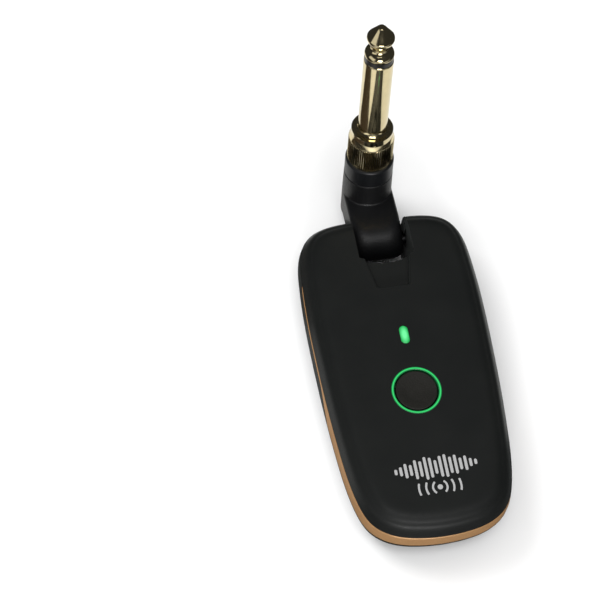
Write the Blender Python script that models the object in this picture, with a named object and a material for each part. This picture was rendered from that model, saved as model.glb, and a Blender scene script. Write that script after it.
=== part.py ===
"""Wireless guitar transmitter: a flat rechargeable body with a folding 6.35 mm plug on an elbow arm.

All sizes below are millimetres. The model is built in metres, +Z up, with its origin at the centre of
the flat underside, +Y towards the hinge end and +X to the right when the face is seen from above.
"""
import math

import bmesh
import bpy
import numpy as np
from mathutils import Vector

MM = 0.001

# Body
THICKNESS = 15.0
WALL = 1.6
PART_LINE = 11.0
GAP = 0.3
OUTLINE_SAMPLES = 96
# Right half of the widest outline, from the hinge end round to the bottom end.
OUTLINE_HALF = [(0.0, 37.8), (6.0, 37.75), (11.1, 37.3), (14.6, 36.1), (17.1, 33.8), (18.5, 30.4),
                (19.15, 25.5), (19.5, 18.5), (19.45, 6.5), (19.05, -4.9), (18.3, -16.0),
                (16.75, -26.8), (14.5, -32.2), (10.6, -35.2), (5.5, -36.6), (0.0, -37.0)]
# (inset from the widest outline, height): the skin from the underside up to the face.
LOWER_SKIN = [(4.6, 0.0), (3.4, 0.35), (2.35, 1.4), (1.5, 3.0), (0.75, 4.7), (0.2, 6.3), (0.0, 7.8),
              (0.08, 9.2)]
UPPER_SKIN = [(0.75, 12.1), (1.3, 13.1), (1.95, 14.0), (2.8, 14.6), (3.9, 14.93), (5.0, 15.0)]
RIM_INSET = 0.3

# Trim band: a slim strip on each side that steps up to a wide band round the bottom end
TRIM_END_Y = 23.8
TRIM_SLIM = 0.65
TRIM_SLIM_LOW = 1.0
TRIM_WIDE = 3.6
TRIM_STEP_Y = 1.5
TRIM_STEP_LENGTH = 13.0
TRIM_DEPTH = 1.0
TRIM_TOP = 10.75

# Button, its light ring and the status light, on the centre line of the face
BUTTON_Y = -5.5
BUTTON_RADIUS = 4.4
RING_INNER = 4.72
RING_OUTER = 5.34
LED_Y = 7.5
LED_WIDTH = 1.9
LED_LENGTH = 4.2

# Hinge notch and the pocket in front of it
NOTCH_HALF_WIDTH = 6.1
NOTCH_FACE_Y = 25.5
NOTCH_ARC = 1.4
NOTCH_LIP = 1.8
NOTCH_FLOOR_Y = 29.2
POCKET_END_Y = 19.0
POCKET_DEPTH = 1.25
POCKET_WIDE = 5.1
POCKET_NARROW = 3.7

# Hinge and arm. Arm sizes are in its own frame: U runs along the slab, V along the plug.
HINGE_Y = 34.5
HINGE_Z = 6.4
REST_TILT = -10.0
ARM_HALF_WIDTH = 5.5
KNUCKLE_U = 1.0
KNUCKLE_REACH = 5.5
KNUCKLE_BACK = 3.3
SLAB_FRONT_V = 5.0
SLAB_BACK_V = -2.2
PLUG_U = 12.1
SLEEVE_END_V = 15.6
FERRULE_LENGTH = 4.6
SLEEVE_RADIUS = 5.4
ARM_BORE = 3.9
PIN_RADIUS = 1.0
PIN_HALF_LENGTH = 9.4
BUSH_RADIUS = 1.75

# Plug: a standard 6.35 mm two-contact jack plug, 30.5 mm from shoulder to point
BARREL_RADIUS = 3.175
PLUG_LENGTH = 30.5
COLLAR_LENGTH = 9.4
COLLAR_RADIUS = 5.0
KNURL_LENGTH = 6.6
SHOULDER_RADIUS = 4.54
INSULATOR_FROM_POINT = (8.1, 9.24)
ROD_RADIUS = 1.1

# Board
BOARD_BOTTOM = 8.4
BOARD_TOP = 9.2
SEAT = 0.05
LEAD_RADIUS = 0.4
CASE_SCREWS = [(-9.6, -28.8), (9.6, -28.8), (-13.4, 22.0), (13.4, 22.0)]
BOARD_SCREWS = [(-9.5, 14.5), (9.5, -21.5)]

# Charging port in the hinge end, right of the hinge, and the ear of the board it is soldered to
PORT_X = 11.3
PORT_WIDTH = 7.5
PORT_LOW = 9.25
PORT_HIGH = 11.75
PORT_BACK_Y = 28.4
PORT_MOUTH_Y = 34.9
PORT_SKIN = 0.25
EAR_END_Y = 33.2
CHEEK_X = 10.6


# ---------------------------------------------------------------- materials and mesh helpers

def material(name, colour, roughness, metallic=0.0, glow=0.0):
    mat = bpy.data.materials.new(name)
    mat.use_nodes = True
    shader = mat.node_tree.nodes["Principled BSDF"]
    shader.inputs["Base Color"].default_value = (*colour, 1.0)
    shader.inputs["Roughness"].default_value = roughness
    shader.inputs["Metallic"].default_value = metallic
    if glow:
        shader.inputs["Emission Color"].default_value = (*colour, 1.0)
        shader.inputs["Emission Strength"].default_value = glow
    return mat


def add_object(name, bm, mat, parent=None, smooth_angle=35.0):
    """Close a bmesh (in millimetres) into an object in metres."""
    bmesh.ops.remove_doubles(bm, verts=bm.verts, dist=1e-4)
    bmesh.ops.recalc_face_normals(bm, faces=bm.faces)
    bmesh.ops.scale(bm, vec=(MM, MM, MM), verts=bm.verts)
    mesh = bpy.data.meshes.new(name)
    bm.to_mesh(mesh)
    bm.free()
    mesh.shade_smooth()
    mesh.set_sharp_from_angle(angle=math.radians(smooth_angle))
    obj = bpy.data.objects.new(name, mesh)
    bpy.context.scene.collection.objects.link(obj)
    if mat is not None:
        mesh.materials.append(mat)
    if parent is not None:
        obj.parent = parent
    return obj


def boolean(target, tool, operation="DIFFERENCE"):
    """Cut target with a tool, or join the tool to it; the tool is kept as a hidden wire shape."""
    tool.hide_render = True
    tool.display_type = "WIRE"
    modifier = target.modifiers.new(tool.name, "BOOLEAN")
    modifier.operation = operation
    modifier.solver = "EXACT"
    modifier.object = tool


def loft(loops, ring=False):
    """Bridge loops of equal length; the ends are capped, or joined to each other for a ring."""
    bm = bmesh.new()
    rows = [[bm.verts.new(point) for point in loop] for loop in loops]
    pairs = list(zip(rows, rows[1:]))
    if ring:
        pairs.append((rows[-1], rows[0]))
    for low, high in pairs:
        count = len(low)
        for i in range(count):
            j = (i + 1) % count
            bm.faces.new((low[i], low[j], high[j], high[i]))
    if not ring:
        bm.faces.new(rows[0][::-1])
        bm.faces.new(rows[-1])
    return bm


def circle(radius, height, count, centre=(0.0, 0.0)):
    step = 2 * math.pi / count
    return [(centre[0] + radius * math.cos(i * step), centre[1] + radius * math.sin(i * step), height)
            for i in range(count)]


def turned(name, profile, mat, parent=None, count=40, centre=(0.0, 0.0), ring=False):
    """A turned solid about a +Z line through centre, from (radius, height) pairs."""
    loops = [circle(radius, height, count, centre) for radius, height in profile]
    return add_object(name, loft(loops, ring), mat, parent)


def turned_x(name, profile, mat, parent, centre, count=32, ring=False):
    """A turned solid about a +X line through centre (y, z), from (radius, x) pairs."""
    loops = [[(x, centre[0] + px, centre[1] + py) for px, py, _ in circle(radius, 0.0, count)]
             for radius, x in profile]
    return add_object(name, loft(loops, ring), mat, parent)


def box(name, low, high, mat, parent=None, bevel=0.0):
    bm = bmesh.new()
    bmesh.ops.create_cube(bm, size=1.0)
    size = Vector(high) - Vector(low)
    bmesh.ops.scale(bm, vec=size, verts=bm.verts)
    bmesh.ops.translate(bm, vec=(Vector(low) + Vector(high)) / 2, verts=bm.verts)
    if bevel:
        bmesh.ops.bevel(bm, geom=bm.edges[:], offset=bevel, segments=2, affect="EDGES")
    return add_object(name, bm, mat, parent)


def prism_x(name, outline, half_width, mat, parent=None):
    """An outline of (y, z) pairs, extruded across X."""
    loops = [[(x, y, z) for y, z in outline] for x in (-half_width, half_width)]
    return add_object(name, loft(loops), mat, parent)


def pill(width, length, height, centre_y, count=10):
    """A slot-shaped loop along Y: two half circles and the straight runs between them."""
    radius = width / 2
    reach = length / 2 - radius
    loop = []
    for side in (1, -1):
        for i in range(count + 1):
            angle = math.pi * i / count
            loop.append((side * radius * math.cos(angle),
                         centre_y + side * (reach + radius * math.sin(angle)), height))
    return loop


def tube(name, route, radius, mat, parent=None):
    """A round wire along a smooth curve through the route's points."""
    smooth = spline_points(np.array(route), 4 * (len(route) - 1) + 1)
    curve = bpy.data.curves.new(name, "CURVE")
    curve.dimensions = "3D"
    curve.bevel_depth = radius * MM
    curve.bevel_resolution = 2
    curve.use_fill_caps = True
    spline = curve.splines.new("POLY")
    spline.points.add(len(smooth) - 1)
    for point, place in zip(spline.points, smooth):
        point.co = (*(place * MM), 1.0)
    curve.materials.append(mat)
    obj = bpy.data.objects.new(name, curve)
    bpy.context.scene.collection.objects.link(obj)
    if parent is not None:
        obj.parent = parent
    return obj


# ---------------------------------------------------------------- smooth curves and the body outline

def spline_second_derivatives(knots, points, closed):
    """Second derivatives of the cubic spline through points: periodic, or natural at open ends."""
    count = len(points)
    matrix = np.zeros((count, count))
    right = np.zeros_like(points)
    period = knots[-1]
    for i in range(count):
        if not closed and i in (0, count - 1):
            matrix[i, i] = 1.0
            continue
        before, after = (i - 1) % count, (i + 1) % count
        gap_before = knots[i] - knots[i - 1] if i else period - knots[count - 1]
        gap_after = knots[i + 1] - knots[i]
        matrix[i, before] += gap_before / 6
        matrix[i, i] += (gap_before + gap_after) / 3
        matrix[i, after] += gap_after / 6
        right[i] = (points[after] - points[i]) / gap_after - (points[i] - points[before]) / gap_before
    return np.linalg.solve(matrix, right)


def spline_points(points, samples, closed=False):
    """Evenly spaced parameters on the cubic spline through points."""
    ring = np.vstack([points, points[:1]]) if closed else points
    chords = np.linalg.norm(np.diff(ring, axis=0), axis=1)
    knots = np.concatenate([[0.0], np.cumsum(chords)])
    bends = spline_second_derivatives(knots, points.astype(float), closed)
    bends = np.vstack([bends, bends[:1]]) if closed else bends
    result = []
    for value in np.linspace(0.0, knots[-1], samples, endpoint=not closed):
        i = min(int(np.searchsorted(knots, value, side="right")) - 1, len(knots) - 2)
        gap = knots[i + 1] - knots[i]
        a, b = (knots[i + 1] - value) / gap, (value - knots[i]) / gap
        result.append(a * ring[i] + b * ring[i + 1]
                      + ((a ** 3 - a) * bends[i] + (b ** 3 - b) * bends[i + 1]) * gap ** 2 / 6)
    return np.array(result)


def body_outline(samples=OUTLINE_SAMPLES):
    """The widest outline of the body, counter-clockwise from the middle of the hinge end."""
    left = [(-x, y) for x, y in OUTLINE_HALF[1:]]
    right = OUTLINE_HALF[1:-1][::-1]
    points = np.array([OUTLINE_HALF[0]] + left + right)
    return spline_points(points, samples, closed=True)


def inset_loop(outline, inset, height):
    """The outline moved inwards by inset (one value or one for each point), at a height."""
    tangent = np.roll(outline, -1, axis=0) - np.roll(outline, 1, axis=0)
    tangent /= np.linalg.norm(tangent, axis=1)[:, None]
    inward = np.column_stack([-tangent[:, 1], tangent[:, 0]])
    moved = outline + inward * np.broadcast_to(inset, len(outline))[:, None]
    heights = np.broadcast_to(height, len(outline))
    return [(x, y, z) for (x, y), z in zip(moved, heights)]


def skin_inset(height):
    """How far the outer skin is inside the widest outline at a height."""
    skin = LOWER_SKIN + [(RIM_INSET, PART_LINE)] + UPPER_SKIN
    return float(np.interp(height, [z for _, z in skin], [inset for inset, _ in skin]))


# ---------------------------------------------------------------- casing

def notch_cutter(name):
    """The space in the hinge end where the knuckle and the slab turn, right through the body.

    Its inner edge is an arc in the face, and the wall below it slopes down under the knuckle.
    """
    across = np.linspace(-NOTCH_HALF_WIDTH, NOTCH_HALF_WIDTH, 15)
    section = [(THICKNESS + 2, NOTCH_FACE_Y, NOTCH_ARC), (THICKNESS - NOTCH_LIP, NOTCH_FACE_Y, NOTCH_ARC),
               (HINGE_Z, NOTCH_FLOOR_Y, 0.0), (-2.0, NOTCH_FLOOR_Y, 0.0)]
    loops = []
    for z, edge, arc in section:
        inner_edge = [(x, edge + arc * (x / NOTCH_HALF_WIDTH) ** 2, z) for x in across]
        loops.append(inner_edge + [(NOTCH_HALF_WIDTH, 45.0, z), (-NOTCH_HALF_WIDTH, 45.0, z)])
    return add_object(name, loft(loops), None)


def pocket_cutter():
    """The shallow tapering pocket in the face that the folded sleeve dips into."""
    loops = []
    near = NOTCH_FACE_Y + NOTCH_ARC
    for depth, shrink in ((1.0, 0.0), (-POCKET_DEPTH, 0.25)):
        z = THICKNESS + depth
        wide, narrow = POCKET_WIDE - shrink, POCKET_NARROW - shrink
        end = POCKET_END_Y + shrink
        loops.append([(-wide, near, z), (-narrow - 0.25, end + 1.0, z),
                      (-narrow + 0.8, end, z), (narrow - 0.8, end, z),
                      (narrow + 0.25, end + 1.0, z), (wide, near, z)])
    return add_object("pocket_cutter", loft(loops), None)


def port_cutter(name):
    """The mouth of the charging port, through the end wall and across the parting line."""
    half = PORT_WIDTH / 2 + GAP
    return box(name, (PORT_X - half, PORT_BACK_Y - GAP, PORT_LOW - GAP),
               (PORT_X + half, 45.0, PORT_HIGH + GAP), None, bevel=1.0)


def post(name, radius, bore, low, place, cover):
    """Add a round post under the face, with a screw bore up its middle."""
    stem = [(radius, THICKNESS - 1.2), (radius, low)]
    boolean(cover, turned(name, stem, None, count=20, centre=place), "UNION")
    hollow = [(bore, THICKNESS - 2.4), (bore, low - 1.6)]
    boolean(cover, turned(name + "_bore", hollow, None, count=16, centre=place))


def top_cover(mat):
    """Face, upper wall, and the posts for the case screws and the board screws."""
    outline = body_outline()
    rim = PART_LINE + GAP / 2
    inner = skin_inset(PART_LINE) + WALL
    ceiling = THICKNESS - WALL
    inside = [(5.6, ceiling), (inner + 1.4, ceiling - 0.6), (inner, ceiling - 2.0), (inner, rim),
              (skin_inset(rim), rim)]
    loops = [inset_loop(outline, inset, z) for inset, z in inside + UPPER_SKIN]
    cover = add_object("top_cover", loft(loops), mat, smooth_angle=50)
    for index, place in enumerate(CASE_SCREWS):
        post(f"top_post_{index}", 2.0, 1.1, 4.6, place, cover)
    for index, place in enumerate(BOARD_SCREWS):
        post(f"board_post_{index}", 1.7, 0.9, BOARD_TOP + GAP, place, cover)
    hole = [(RING_OUTER + GAP, 11.0), (RING_OUTER + GAP, THICKNESS + 2)]
    boolean(cover, turned("ring_hole", hole, None, centre=(0.0, BUTTON_Y), count=56))
    slot = [pill(LED_WIDTH + 2 * GAP, LED_LENGTH + 2 * GAP, z, LED_Y) for z in (11.0, THICKNESS + 2)]
    boolean(cover, add_object("led_hole", loft(slot), None))
    for side in (-1, 1):
        low_x, high_x = sorted((side * (NOTCH_HALF_WIDTH - 0.2), side * (NOTCH_HALF_WIDTH + 1.0)))
        side_wall = box(f"notch_side_{side}", (low_x, 25.2, rim), (high_x, 35.6, 13.6), None)
        boolean(cover, side_wall, "UNION")
    end_wall = box("notch_end", (-6.8, NOTCH_FACE_Y - 1.4, rim), (6.8, 30.0, 14.3), None)
    boolean(cover, end_wall, "UNION")
    boolean(cover, notch_cutter("notch_cutter_top"))
    boolean(cover, pocket_cutter())
    boolean(cover, port_cutter("port_hole_top"))
    return cover


def trim_heights(places):
    """Height of the trim band at outline points: a slim strip that steps up to a wide band."""
    slim = np.interp(places[:, 1], [-6.0, TRIM_END_Y], [TRIM_SLIM_LOW, TRIM_SLIM])
    step = np.clip((TRIM_STEP_Y - places[:, 1]) / TRIM_STEP_LENGTH, 0.0, 1.0)
    blend = step * step * (3 - 2 * step)
    return slim + (TRIM_WIDE - slim) * blend


def trim_strip(name, mat, grow):
    """The U-shaped strip round the bottom end; grow widens it into the groove that holds it."""
    outline = body_outline()
    reach = TRIM_END_Y + grow
    top = TRIM_TOP + (1.0 if grow else 0.0)
    low = TRIM_TOP - trim_heights(outline) - grow
    proud = 0.6 if grow else 0.0
    outer_low = np.array([skin_inset(z) for z in low]) - proud
    depth = skin_inset(9.0) + TRIM_DEPTH + grow
    corners = [inset_loop(outline, skin_inset(PART_LINE) - proud, top),
               inset_loop(outline, outer_low, low),
               inset_loop(outline, depth, low), inset_loop(outline, depth, top)]
    sections = [np.array([corner[i] for corner in corners]) for i in range(len(outline))]
    kept = [sections[i] for i in range(len(outline)) if outline[i][1] < reach]
    first = int(np.argmax(outline[:, 1] < reach))
    last = first + len(kept) - 1
    kept.insert(0, cut_section(sections, outline, first - 1, first, reach))
    kept.append(cut_section(sections, outline, last + 1, last, reach))
    return add_object(name, loft(kept), mat)


def cut_section(sections, outline, outside, inside, reach):
    """The strip's section where the outline crosses y = reach, between two of its samples."""
    share = (reach - outline[inside][1]) / (outline[outside][1] - outline[inside][1])
    return sections[inside] + share * (sections[outside] - sections[inside])


def bottom_cover(mat):
    """Underside, lower wall, hinge cheeks, screw seats and the groove for the trim."""
    outline = body_outline()
    rim = PART_LINE - GAP / 2
    inner = 3.1
    loops = [inset_loop(outline, 6.2, WALL), inset_loop(outline, 4.4, WALL + 0.7),
             inset_loop(outline, inner, WALL + 2.2), inset_loop(outline, inner, rim),
             inset_loop(outline, skin_inset(rim), rim)]
    loops += [inset_loop(outline, inset, z) for inset, z in LOWER_SKIN[::-1]]
    cover = add_object("bottom_cover", loft(loops), mat, smooth_angle=50)
    for side in (-1, 1):
        low_x, high_x = sorted((side * (NOTCH_HALF_WIDTH + 0.3), side * CHEEK_X))
        cheek = box(f"cheek_{side}", (low_x, NOTCH_FLOOR_Y, 1.2), (high_x, 35.0, rim - 0.2), None)
        boolean(cover, cheek, "UNION")
        bore = [(BUSH_RADIUS + GAP, side * 5.0), (BUSH_RADIUS + GAP, side * 11.4)]
        boolean(cover, turned_x(f"pin_bore_{side}", bore, None, None, (HINGE_Y, HINGE_Z)))
    wall = box("notch_wall", (-7.4, NOTCH_FLOOR_Y - 1.4, 0.8), (7.4, NOTCH_FLOOR_Y + 0.4, 5.6), None)
    boolean(cover, wall, "UNION")
    boolean(cover, notch_cutter("notch_cutter_low"))
    for index, (x, y) in enumerate(CASE_SCREWS):
        seat = turned(f"screw_seat_{index}", [(2.6, 0.9), (2.6, 3.3)], None, count=20, centre=(x, y))
        boolean(cover, seat, "UNION")
        hole = [(1.9, -1.0), (1.9, 2.1), (1.1, 2.1), (1.1, 5.0)]
        boolean(cover, turned(f"screw_hole_{index}", hole, None, count=20, centre=(x, y)))
    boolean(cover, port_cutter("port_hole_low"))
    boolean(cover, trim_strip("trim_groove", None, GAP))
    return cover


def casing(mats):
    top_cover(mats["shell"])
    bottom_cover(mats["shell"])
    trim_strip("side_trim_band", mats["copper"], 0.0)


# ---------------------------------------------------------------- face controls

def face_controls(mats):
    lens = loft([pill(LED_WIDTH, LED_LENGTH, z, LED_Y) for z in (12.0, THICKNESS - 0.05)])
    add_object("led_lens", lens, mats["light"])
    turned("light_ring", [(RING_INNER, 11.6), (RING_OUTER, 11.6), (RING_OUTER, THICKNESS - 0.05),
                          (RING_INNER, THICKNESS - 0.05)], mats["light"],
           centre=(0.0, BUTTON_Y), ring=True, count=56)
    # The cap's origin is on its line of travel.
    cap_profile = [(1.2, 11.75), (1.2, 12.9), (3.9, 12.9), (BUTTON_RADIUS, 13.1),
                   (BUTTON_RADIUS, 14.85), (BUTTON_RADIUS - 0.3, THICKNESS - 0.05)]
    cap = turned("button_cap", cap_profile, mats["button"], count=44)
    cap.location = (0.0, BUTTON_Y * MM, 0.0)
    plunger = turned("switch_plunger", [(0.8, 11.25), (0.8, 11.7)], mats["plastic"], count=20)
    plunger.location = (0.0, BUTTON_Y * MM, 0.0)


# ---------------------------------------------------------------- inside the body

def board(mats):
    outline = body_outline(64)
    loops = [inset_loop(outline, 4.2, z) for z in (BOARD_BOTTOM, BOARD_TOP)]
    pcb = add_object("main_board", loft(loops), mats["board"])
    boolean(pcb, box("board_notch", (-25.0, 18.8, 5.0), (7.6, 50.0, 13.0), None))
    boolean(pcb, box("cheek_relief", (7.0, NOTCH_FLOOR_Y - 0.5, 5.0), (CHEEK_X + GAP, 50.0, 13.0), None))
    boolean(pcb, box("ear_end", (7.0, EAR_END_Y, 5.0), (25.0, 50.0, 13.0), None))
    boolean(pcb, turned("post_relief", [(2.4, 5.0), (2.4, 13.0)], None, count=20, centre=CASE_SCREWS[3]))
    for side in (-1, 1):
        low_x, high_x = sorted((side * 6.9, side * 25.0))
        boolean(pcb, box(f"board_relief_{side}", (low_x, -50.0, 5.0), (high_x, -26.0, 13.0), None))
    for index, (x, y) in enumerate(BOARD_SCREWS):
        boolean(pcb, turned(f"board_hole_{index}", [(0.95, 5.0), (0.95, 13.0)], None, count=16,
                            centre=(x, y)))
    seat = BOARD_TOP + SEAT
    box("tact_switch", (-1.6, BUTTON_Y - 1.6, seat), (1.6, BUTTON_Y + 1.6, 10.8), mats["plastic"], bevel=0.15)
    box("status_led", (-0.8, LED_Y - 0.6, seat), (0.8, LED_Y + 0.6, 10.1), mats["light"])
    ring_middle = (RING_INNER + RING_OUTER) / 2
    for index in range(4):
        angle = math.radians(45 + 90 * index)
        x, y = ring_middle * math.cos(angle), BUTTON_Y + ring_middle * math.sin(angle)
        box(f"ring_led_{index + 1}", (x - 0.6, y - 0.6, seat), (x + 0.6, y + 0.6, 10.1), mats["light"])
    box("shield_can", (0.5, 7.5, 6.2), (11.0, 18.5, BOARD_BOTTOM - SEAT), mats["steel"], bevel=0.3)
    box("antenna_strip", (-6.5, -31.6, seat), (6.5, -28.4, 9.7), mats["copper"])
    box("battery_socket", (8.0, 2.5, 6.5), (13.0, 6.0, BOARD_BOTTOM - SEAT), mats["plastic"], bevel=0.15)


def charging_port(mats):
    """A receptacle with its mouth in the hinge end: a folded metal shell round a contact tongue."""
    half = PORT_WIDTH / 2
    shell = box("usb_shell", (PORT_X - half, PORT_BACK_Y, PORT_LOW),
                (PORT_X + half, PORT_MOUTH_Y, PORT_HIGH), mats["steel"], bevel=0.9)
    mouth = half - PORT_SKIN
    inner_back = PORT_BACK_Y + 1.8
    boolean(shell, box("usb_mouth", (PORT_X - mouth, inner_back, PORT_LOW + PORT_SKIN),
                       (PORT_X + mouth, 40.0, PORT_HIGH - PORT_SKIN), None, bevel=0.5))
    middle = (PORT_LOW + PORT_HIGH) / 2
    box("usb_tongue", (PORT_X - 2.4, inner_back + SEAT, middle - 0.3),
        (PORT_X + 2.4, PORT_MOUTH_Y - 0.7, middle + 0.3), mats["plastic"])


def battery(mats):
    box("battery_cell", (-13.0, -26.0, 2.9), (13.0, 1.0, 7.2), mats["cell"], bevel=0.8)
    box("battery_pad", (-10.0, -22.0, 1.95), (10.0, -3.0, 2.6), mats["foam"])
    for name, x, key in (("battery_lead_red", 9.6, "red"), ("battery_lead_black", 11.6, "plastic")):
        route = [(x, 1.35, 6.9), (x, 1.75, 6.95), (x, 2.15, 7.1)]
        tube(name, route, LEAD_RADIUS, mats[key])


def fasteners(mats):
    for index, (x, y) in enumerate(CASE_SCREWS):
        profile = [(1.55, 0.6), (1.55, 1.75), (0.78, 1.76), (0.78, 8.6), (0.3, 9.2)]
        turned(f"case_screw_{index + 1}", profile, mats["steel"], count=16, centre=(x, y))
    for index, (x, y) in enumerate(BOARD_SCREWS):
        profile = [(0.25, 12.0), (0.58, 11.5), (0.58, BOARD_BOTTOM - SEAT), (1.3, BOARD_BOTTOM - 2 * SEAT),
                   (1.3, BOARD_BOTTOM - 0.8)]
        turned(f"board_screw_{index + 1}", profile, mats["steel"], count=16, centre=(x, y))


def hinge_hardware(mats):
    centre = (HINGE_Y, HINGE_Z)
    turned_x("hinge_pin", [(PIN_RADIUS - 0.2, -PIN_HALF_LENGTH), (PIN_RADIUS, -PIN_HALF_LENGTH + 0.3),
                           (PIN_RADIUS, PIN_HALF_LENGTH - 0.3), (PIN_RADIUS - 0.2, PIN_HALF_LENGTH)],
             mats["steel"], None, centre)
    for side, word in ((-1, "left"), (1, "right")):
        near, far = side * 6.5, side * 8.6
        hole = PIN_RADIUS + SEAT
        profile = [(hole, near), (BUSH_RADIUS, near), (BUSH_RADIUS, far), (hole, far)]
        turned_x(f"hinge_bush_{word}", profile, mats["plastic"], None, centre, ring=True)


# ---------------------------------------------------------------- arm

def knuckle_outline():
    """Side outline of the slab: the rounded knuckle on the pin, then the slab out to the plug's axis."""
    arc = []
    for i in range(31):
        turn = math.pi / 2 + math.pi * i / 30
        reach_v = SLAB_FRONT_V if math.sin(turn) > 0 else KNUCKLE_BACK
        arc.append((KNUCKLE_U + KNUCKLE_REACH * math.cos(turn), reach_v * math.sin(turn)))
    return arc + [(3.2, SLAB_BACK_V), (PLUG_U + 3.0, SLAB_BACK_V), (PLUG_U + 3.0, SLAB_FRONT_V)]


def arm_shell(mats, pivot):
    """Elbow: slab with knuckle and a round sleeve, one moulding, hollow for the plug and its leads."""
    arm = prism_x("arm_shell", knuckle_outline(), ARM_HALF_WIDTH, mats["arm"], pivot)
    corner = box("slab_corner", (-8.0, PLUG_U, -6.0), (8.0, PLUG_U + 9.0, 9.0), None, pivot)
    boolean(arm, corner)
    seam = SLEEVE_END_V - FERRULE_LENGTH
    sleeve = turned("arm_sleeve", [(ARM_HALF_WIDTH, SLAB_BACK_V), (ARM_HALF_WIDTH, SLAB_FRONT_V),
                                   (SLEEVE_RADIUS, seam - 0.02)], None, pivot, count=56, centre=(0.0, PLUG_U))
    boolean(arm, sleeve, "UNION")
    facet = [(PLUG_U + 1.3, SLAB_BACK_V - 1.0), (PLUG_U + 1.3, SLAB_BACK_V), (PLUG_U + 5.6, 2.9),
             (PLUG_U + 9.0, 6.8), (PLUG_U + 9.0, SLAB_BACK_V - 1.0)]
    boolean(arm, prism_x("hood_facet", facet, 8.0, None, pivot))
    bore = [(ARM_BORE, 1.2), (ARM_BORE, 20.0)]
    boolean(arm, turned("arm_bore", bore, None, pivot, count=40, centre=(0.0, PLUG_U)))
    boolean(arm, box("lead_channel", (-1.3, 0.6, -0.2), (1.3, PLUG_U, 3.0), None, pivot))
    pin_bore = [(PIN_RADIUS + GAP, -7.0), (PIN_RADIUS + GAP, 7.0)]
    boolean(arm, turned_x("knuckle_bore", pin_bore, None, pivot, (0.0, 0.0), count=28))
    return arm


def plug(mats, pivot):
    """The metal plug along the sleeve's axis, from the ferrule to the point."""
    centre = (0.0, PLUG_U)
    seam = SLEEVE_END_V - FERRULE_LENGTH + 0.06
    ferrule = [(ARM_BORE, seam), (SLEEVE_RADIUS, seam), (SLEEVE_RADIUS - 0.05, SLEEVE_END_V - 0.4),
               (SLEEVE_RADIUS - 0.35, SLEEVE_END_V), (ARM_BORE, SLEEVE_END_V)]
    turned("sleeve_ferrule", ferrule, mats["arm"], pivot, centre=centre, ring=True)
    foot = SLEEVE_END_V + 0.04
    shoulder = SLEEVE_END_V + COLLAR_LENGTH
    hole = BARREL_RADIUS + 0.035
    collar = [(hole, foot), (COLLAR_RADIUS - 0.2, foot), (COLLAR_RADIUS, foot + 0.2),
              (COLLAR_RADIUS, foot + KNURL_LENGTH), (SHOULDER_RADIUS, foot + KNURL_LENGTH + 1.3),
              (SHOULDER_RADIUS, shoulder), (hole, shoulder)]
    turned("knurled_collar", collar, mats["gold"], pivot, centre=centre, ring=True)
    point = shoulder + PLUG_LENGTH
    insulator_low, insulator_high = point - INSULATOR_FROM_POINT[1], point - INSULATOR_FROM_POINT[0]
    barrel_end = insulator_low - 0.03
    barrel = [(2.2, 8.0), (BARREL_RADIUS, 8.0), (BARREL_RADIUS, barrel_end), (2.2, barrel_end)]
    turned("plug_barrel", barrel, mats["gold"], pivot, centre=centre, ring=True)
    washer = [(1.45, insulator_low), (3.05, insulator_low), (3.05, insulator_high), (1.45, insulator_high)]
    turned("insulator_ring", washer, mats["plastic"], pivot, centre=centre, ring=True)
    sleeve = [(1.45, 7.0), (1.9, 7.0), (1.9, insulator_low - GAP), (1.45, insulator_low - GAP)]
    turned("insulator_tube", sleeve, mats["white"], pivot, count=24, centre=centre, ring=True)
    turned("plug_tip", tip_profile(point), mats["gold"], pivot, centre=centre, count=40)


def tip_profile(point):
    """Radius and height along the tip: rod, ring, waist, widest bulge and the blunt cone to the point."""
    from_point = [(3.1, INSULATOR_FROM_POINT[0] - 0.03), (3.1, 7.4), (2.75, 6.75), (2.15, 6.15), (1.95, 5.7),
                  (2.05, 5.2), (2.5, 4.3), (2.85, 3.5), (2.92, 3.1), (2.8, 2.75), (1.0, 0.35), (0.75, 0.1),
                  (0.4, 0.0)]
    rod = [(ROD_RADIUS, 4.6), (ROD_RADIUS, point - INSULATOR_FROM_POINT[0] + 0.03)]
    return rod + [(radius, point - distance) for radius, distance in from_point]


def arm_wiring(mats, pivot):
    """Solder lugs at the plug's rear and the leads that run from them to the hinge."""
    turned("tip_lug", [(1.4, 3.6), (2.6, 3.6), (2.6, 4.1), (1.4, 4.1)], mats["brass"], pivot, count=20,
           centre=(0.0, PLUG_U), ring=True)
    turned("sleeve_lug", [(2.3, 6.2), (3.5, 6.2), (3.5, 6.7), (2.3, 6.7)], mats["brass"], pivot, count=24,
           centre=(0.0, PLUG_U), ring=True)
    tip_route = [(-0.6, PLUG_U - 3.1, 3.2), (-0.6, PLUG_U - 4.6, 1.6), (-0.6, 4.4, 1.2), (-0.6, 2.2, 1.2)]
    tube("tip_lead", tip_route, LEAD_RADIUS, mats["red"], pivot)
    sleeve_route = [(0.6, PLUG_U - 3.1, 5.6), (0.6, PLUG_U - 3.3, 3.0), (0.6, PLUG_U - 5.0, 1.3),
                    (0.6, 2.2, 1.2)]
    tube("sleeve_lead", sleeve_route, LEAD_RADIUS, mats["plastic"], pivot)


def make_pivot():
    """The empty on the hinge axis that the whole arm hangs from."""
    pivot = bpy.data.objects.new("arm_pivot", None)
    pivot.location = (0.0, HINGE_Y * MM, HINGE_Z * MM)
    pivot.rotation_euler = (math.radians(REST_TILT), 0.0, 0.0)
    bpy.context.scene.collection.objects.link(pivot)
    return pivot


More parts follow.
